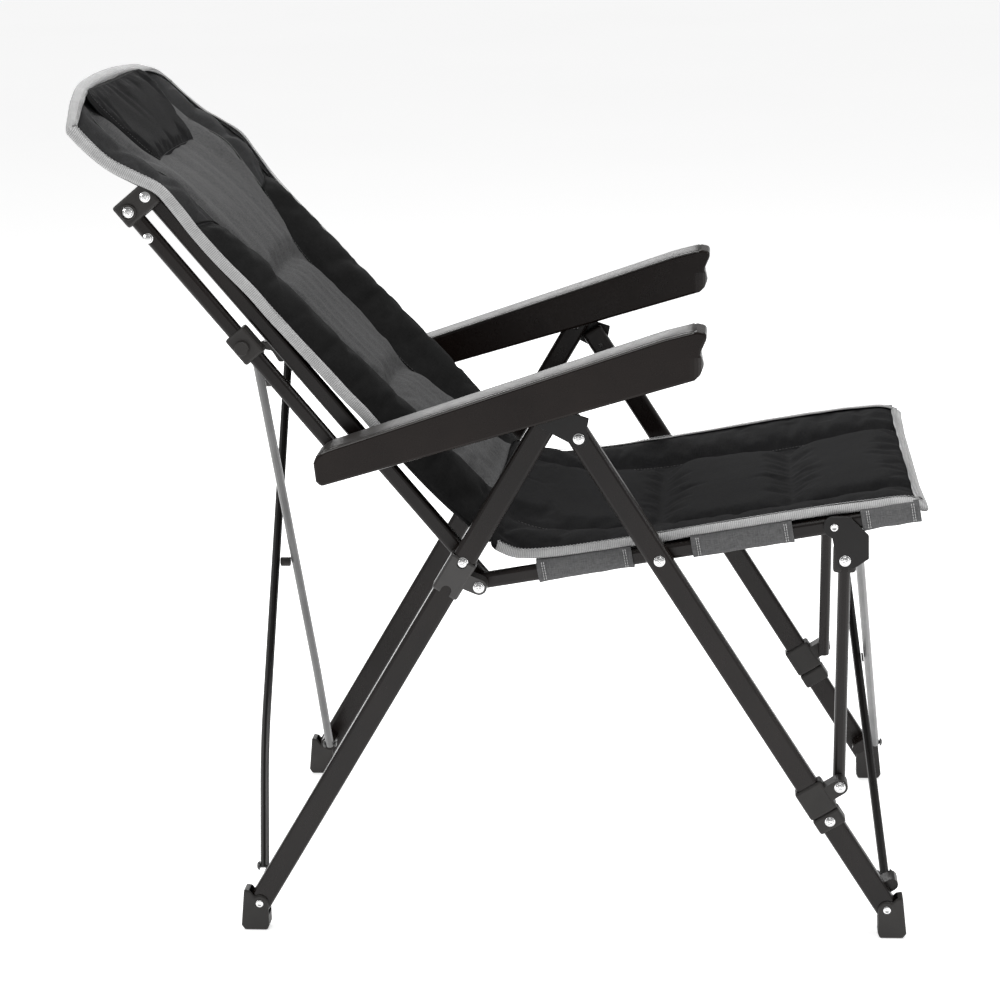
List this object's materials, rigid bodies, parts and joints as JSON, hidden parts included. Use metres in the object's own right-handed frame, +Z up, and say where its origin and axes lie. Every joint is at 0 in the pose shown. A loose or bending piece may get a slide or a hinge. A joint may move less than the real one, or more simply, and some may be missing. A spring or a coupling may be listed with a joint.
{
  "type": "folding camp armchair",
  "caption": "High-back padded folding camp armchair with tubular A-frame sides, crossed front and rear braces, sliding collars and moulded armrests",
  "frame": {"origin": "centre of the bounding box, on the ground under the four feet", "axes": "+X is the front of the chair, +Y is the sitter's left, +Z is up"},
  "size_m": [0.994, 0.596, 1.0215],
  "materials": {
    "tube_brown": "semi-gloss dark brown powder coat",
    "brace_grey": "satin grey powder coat",
    "dark_plastic": "moulded, matt dark grey-brown",
    "armrest_plastic": "moulded, semi-gloss dark brown",
    "bracket_steel": "satin black",
    "clamp_steel": "satin dark grey",
    "fastener_chrome": "plated, domed",
    "seat_cloth": "woven black polyester over foam",
    "back_cloth": "woven charcoal polyester over foam"
  },
  "bodies": {
    "foot_r": {"front_foot_r": "dark_plastic"},
    "front_brace_a": {"front_brace_a": "tube_brown", "front_brace_spacer": "dark_plastic"},
    "front_brace_b": {"front_brace_b": "brace_grey"},
    "foot_l": {"front_foot_l": "dark_plastic"},
    "front_leg_r": {"front_leg_r": "tube_brown", "stop_collar_r": "dark_plastic", "seat_bolt_r": "fastener_chrome", "arm_bolt_r": "fastener_chrome"},
    "armrest_r": {"armrest_r": "armrest_plastic", "arm_bracket_r": "bracket_steel"},
    "rear_leg_r": {"rear_leg_r": "tube_brown", "stop_bolt_r": "fastener_chrome"},
    "rear_foot_r": {"rear_foot_r": "dark_plastic"},
    "clamp_r": {"rear_clamp_r": "clamp_steel", "clamp_bolt_r": "fastener_chrome"},
    "seat_side_r": {"seat_tube_r": "tube_brown", "seat_bracket_r": "bracket_steel", "cap_bolt_r": "fastener_chrome", "seat_pad": "seat_cloth"},
    "upright_r": {"upright_r": "tube_brown", "upright_cap_r": "dark_plastic"},
    "front_slider_r": {"front_slider_r": "dark_plastic", "slider_bolt_r": "fastener_chrome"},
    "back_r": {"back_tube_r": "tube_brown", "top_bracket_r": "dark_plastic", "rail_bolt_r": "fastener_chrome", "back_pad": "back_cloth", "head_pillow": "seat_cloth"},
    "rail_r": {"back_rail_r": "tube_brown"},
    "back_slider_r": {"back_slider_r": "dark_plastic"},
    "front_leg_l": {"front_leg_l": "tube_brown", "stop_collar_l": "dark_plastic", "seat_bolt_l": "fastener_chrome", "arm_bolt_l": "fastener_chrome"},
    "armrest_l": {"armrest_l": "armrest_plastic", "arm_bracket_l": "bracket_steel"},
    "rear_leg_l": {"rear_leg_l": "tube_brown", "stop_bolt_l": "fastener_chrome"},
    "rear_foot_l": {"rear_foot_l": "dark_plastic"},
    "clamp_l": {"rear_clamp_l": "clamp_steel", "clamp_bolt_l": "fastener_chrome"},
    "seat_side_l": {"seat_tube_l": "tube_brown", "seat_bracket_l": "bracket_steel", "cap_bolt_l": "fastener_chrome"},
    "upright_l": {"upright_l": "tube_brown", "upright_cap_l": "dark_plastic"},
    "front_slider_l": {"front_slider_l": "dark_plastic", "slider_bolt_l": "fastener_chrome"},
    "back_l": {"back_tube_l": "tube_brown", "top_bracket_l": "dark_plastic", "rail_bolt_l": "fastener_chrome"},
    "rail_l": {"back_rail_l": "tube_brown"},
    "back_slider_l": {"back_slider_l": "dark_plastic"},
    "rear_brace_a": {"rear_brace_a": "tube_brown", "rear_brace_spacer": "dark_plastic", "transport_hook": "dark_plastic", "hook_peg": "dark_plastic"},
    "rear_brace_b": {"rear_brace_b": "brace_grey"}
  },
  "joints": [
    {"name": "fold", "type": "hinge", "parent": "front_leg_r", "child": "front_brace_a", "pos_m": [0.469, -0.222, 0.063], "axis": [0.9748, -0.1145, 0.1915], "range_deg": [0, 32.99], "deforming": ["seat_pad", "back_pad", "head_pillow"]},
    {"name": "front_cross", "type": "hinge", "parent": "front_brace_a", "child": "front_brace_b", "pos_m": [0.4435, 0, 0.2655], "axis": [0.9872, 0, 0.1594], "range_deg": [-65.53, 0]},
    {"name": "front_leg_swing_r", "type": "hinge", "parent": "foot_r", "child": "front_leg_r", "pos_m": [0.4625, -0.26, 0.0372], "axis": [0, -1, 0], "range_deg": [-15.59, 0]},
    {"name": "armrest_tilt_r", "type": "hinge", "parent": "front_leg_r", "child": "armrest_r", "pos_m": [0.0989, -0.27, 0.6212], "axis": [0, -1, 0], "range_deg": [0, 37.52]},
    {"name": "rear_leg_swing_r", "type": "hinge", "parent": "armrest_r", "child": "rear_leg_r", "pos_m": [0.0654, -0.26, 0.6464], "axis": [0, -1, 0], "range_deg": [-10.1, 0]},
    {"name": "rear_foot_swivel_r", "type": "hinge", "parent": "rear_leg_r", "child": "rear_foot_r", "pos_m": [-0.3, -0.26, 0.0353], "axis": [0, -1, 0], "range_deg": [-11.82, 0]},
    {"name": "clamp_slide_r", "type": "slide", "parent": "rear_leg_r", "child": "clamp_r", "axis": [-0.5132, 0, -0.8583], "range_m": [0, 0.10165]},
    {"name": "seat_tilt_r", "type": "hinge", "parent": "front_leg_r", "child": "seat_side_r", "pos_m": [0.191, -0.242, 0.4734], "axis": [0, -1, 0], "range_deg": [0, 46.54]},
    {"name": "upright_swing_r", "type": "hinge", "parent": "seat_side_r", "child": "upright_r", "pos_m": [0.4067, -0.242, 0.4706], "axis": [0, -1, 0], "range_deg": [-53.67, 0]},
    {"name": "front_slide_r", "type": "slide", "parent": "front_leg_r", "child": "front_slider_r", "axis": [-0.5285, 0, 0.8489], "range_m": [0, 0.18838]},
    {"name": "back_tilt_r", "type": "hinge", "parent": "seat_side_r", "child": "back_r", "pos_m": [-0.0211, -0.225, 0.441], "axis": [0, -1, 0], "range_deg": [-36.92, 0]},
    {"name": "rail_swing_r", "type": "hinge", "parent": "back_r", "child": "rail_r", "pos_m": [-0.4154, -0.2396, 0.8826], "axis": [0, -1, 0], "range_deg": [0, 2.82]},
    {"name": "back_slide_r", "type": "slide", "parent": "rail_r", "child": "back_slider_r", "axis": [-0.6276, 0, 0.7785], "range_m": [0, 0.13853]},
    {"name": "front_brace_foot", "type": "hinge", "parent": "front_brace_b", "child": "front_leg_l", "pos_m": [0.469, 0.222, 0.063], "axis": [0.9748, 0.1145, 0.1915], "range_deg": [0, 32.99]},
    {"name": "front_foot_swivel_l", "type": "hinge", "parent": "front_leg_l", "child": "foot_l", "pos_m": [0.4625, 0.26, 0.0372], "axis": [0, -1, 0], "range_deg": [0, 15.59]},
    {"name": "armrest_tilt_l", "type": "hinge", "parent": "front_leg_l", "child": "armrest_l", "pos_m": [0.0989, 0.27, 0.6212], "axis": [0, -1, 0], "range_deg": [0, 37.52]},
    {"name": "rear_leg_swing_l", "type": "hinge", "parent": "armrest_l", "child": "rear_leg_l", "pos_m": [0.0654, 0.26, 0.6464], "axis": [0, -1, 0], "range_deg": [-10.1, 0]},
    {"name": "rear_foot_swivel_l", "type": "hinge", "parent": "rear_leg_l", "child": "rear_foot_l", "pos_m": [-0.3, 0.26, 0.0353], "axis": [0, -1, 0], "range_deg": [-11.82, 0]},
    {"name": "clamp_slide_l", "type": "slide", "parent": "rear_leg_l", "child": "clamp_l", "axis": [-0.5132, 0, -0.8583], "range_m": [0, 0.10165]},
    {"name": "seat_tilt_l", "type": "hinge", "parent": "front_leg_l", "child": "seat_side_l", "pos_m": [0.191, 0.242, 0.4734], "axis": [0, -1, 0], "range_deg": [0, 46.54]},
    {"name": "upright_swing_l", "type": "hinge", "parent": "seat_side_l", "child": "upright_l", "pos_m": [0.4067, 0.242, 0.4706], "axis": [0, -1, 0], "range_deg": [-53.67, 0]},
    {"name": "front_slide_l", "type": "slide", "parent": "front_leg_l", "child": "front_slider_l", "axis": [-0.5285, 0, 0.8489], "range_m": [0, 0.18838]},
    {"name": "back_tilt_l", "type": "hinge", "parent": "seat_side_l", "child": "back_l", "pos_m": [-0.0211, 0.225, 0.441], "axis": [0, -1, 0], "range_deg": [-36.92, 0]},
    {"name": "rail_swing_l", "type": "hinge", "parent": "back_l", "child": "rail_l", "pos_m": [-0.4154, 0.2396, 0.8826], "axis": [0, -1, 0], "range_deg": [0, 2.82]},
    {"name": "back_slide_l", "type": "slide", "parent": "rail_l", "child": "back_slider_l", "axis": [-0.6276, 0, 0.7785], "range_m": [0, 0.13853]},
    {"name": "rear_brace_swing", "type": "hinge", "parent": "rear_leg_r", "child": "rear_brace_a", "pos_m": [-0.293, -0.2118, 0.058], "axis": [1, 0, -0.002], "range_deg": [0, 22.83]},
    {"name": "rear_cross", "type": "hinge", "parent": "rear_brace_a", "child": "rear_brace_b", "pos_m": [-0.29235, 0, 0.39075], "axis": [1, 0, -0.002], "range_deg": [-45.66, 0]}
  ],
  "couplings": [
    {"joint": "front_cross", "follows": "fold", "ratio": -1.9865},
    {"joint": "front_leg_swing_r", "follows": "fold", "ratio": -0.47266},
    {"joint": "armrest_tilt_r", "follows": "fold", "ratio": 1.1374},
    {"joint": "rear_leg_swing_r", "follows": "fold", "ratio": -0.30632},
    {"joint": "rear_foot_swivel_r", "follows": "fold", "ratio": -0.35843},
    {"joint": "clamp_slide_r", "follows": "fold", "m_per_rad": 0.17657},
    {"joint": "seat_tilt_r", "follows": "fold", "ratio": 1.4109},
    {"joint": "upright_swing_r", "follows": "fold", "ratio": -1.6271},
    {"joint": "front_slide_r", "follows": "fold", "m_per_rad": 0.3272},
    {"joint": "back_tilt_r", "follows": "fold", "ratio": -1.1193},
    {"joint": "rail_swing_r", "follows": "fold", "ratio": 0.08554},
    {"joint": "back_slide_r", "follows": "fold", "m_per_rad": 0.24062},
    {"joint": "front_brace_foot", "follows": "fold", "ratio": 1},
    {"joint": "front_foot_swivel_l", "follows": "fold", "ratio": 0.47266},
    {"joint": "armrest_tilt_l", "follows": "fold", "ratio": 1.1374},
    {"joint": "rear_leg_swing_l", "follows": "fold", "ratio": -0.30632},
    {"joint": "rear_foot_swivel_l", "follows": "fold", "ratio": -0.35843},
    {"joint": "clamp_slide_l", "follows": "fold", "m_per_rad": 0.17657},
    {"joint": "seat_tilt_l", "follows": "fold", "ratio": 1.4109},
    {"joint": "upright_swing_l", "follows": "fold", "ratio": -1.6271},
    {"joint": "front_slide_l", "follows": "fold", "m_per_rad": 0.3272},
    {"joint": "back_tilt_l", "follows": "fold", "ratio": -1.1193},
    {"joint": "rail_swing_l", "follows": "fold", "ratio": 0.08554},
    {"joint": "back_slide_l", "follows": "fold", "m_per_rad": 0.24062},
    {"joint": "rear_brace_swing", "follows": "fold", "ratio": 0.69212},
    {"joint": "rear_cross", "follows": "fold", "ratio": -1.3842}
  ]
}
